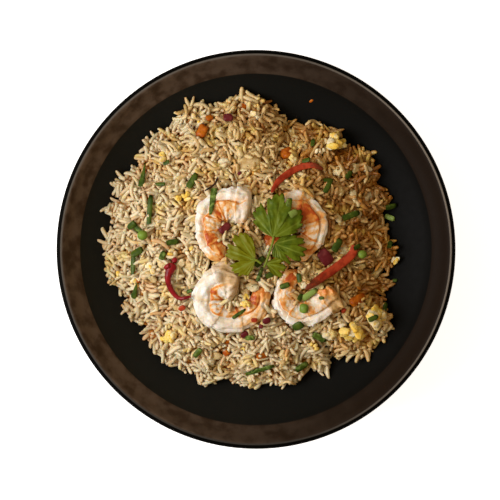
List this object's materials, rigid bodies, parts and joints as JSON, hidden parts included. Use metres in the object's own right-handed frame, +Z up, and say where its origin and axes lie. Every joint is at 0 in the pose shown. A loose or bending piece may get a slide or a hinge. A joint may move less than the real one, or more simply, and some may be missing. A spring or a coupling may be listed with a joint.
{
  "type": "shrimp fried rice in a bowl",
  "caption": "Wide black stoneware bowl with a brown-banded rim, holding a heap of fried rice topped with curled shrimp, coriander leaves, chilli strips, egg and spring onion.",
  "frame": {"origin": "middle of the bowl's foot ring, on the table", "axes": "+Z up along the bowl's axis, +Y away from the diner, +X to the diner's right"},
  "size_m": [0.24, 0.24, 0.0699],
  "materials": {
    "glaze": "black stoneware glaze with a brown band inside the rim",
    "rice": "moist long-grain rice, cream to tan, lightly browned",
    "shrimp": "cooked peeled shrimp, white flesh with orange bands",
    "coriander": "fresh green leaf with lighter veins",
    "spring_onion": "cut green spring onion, dark outside and pale inside",
    "chilli": "glossy red chilli skin",
    "egg": "soft scrambled egg, pale yellow with white parts",
    "carrot": "cooked orange carrot",
    "onion": "cooked translucent onion",
    "red_onion": "cooked purple-red onion"
  },
  "bodies": {
    "root": {"bowl": "glaze", "rice": "rice", "shrimp_1": "shrimp", "shrimp_2": "shrimp", "shrimp_3": "shrimp", "shrimp_4": "shrimp", "egg_1": "egg", "egg_2": "egg", "egg_3": "egg", "egg_4": "egg", "carrot_1": "carrot", "carrot_2": "carrot", "carrot_3": "carrot", "onion_1": "onion", "red_onion_1": "red_onion", "chilli_1": "chilli", "chilli_2": "chilli", "chilli_3": "chilli", "spring_onion_1": "spring_onion", "spring_onion_2": "spring_onion", "spring_onion_3": "spring_onion", "spring_onion_4": "spring_onion", "spring_onion_5": "spring_onion", "spring_onion_6": "spring_onion", "spring_onion_7": "spring_onion", "spring_onion_8": "spring_onion", "spring_onion_9": "spring_onion", "spring_onion_10": "spring_onion", "spring_onion_11": "spring_onion", "spring_onion_12": "spring_onion", "coriander_leaf": "coriander", "coriander_sprig": "coriander"}
  },
  "joints": []
}
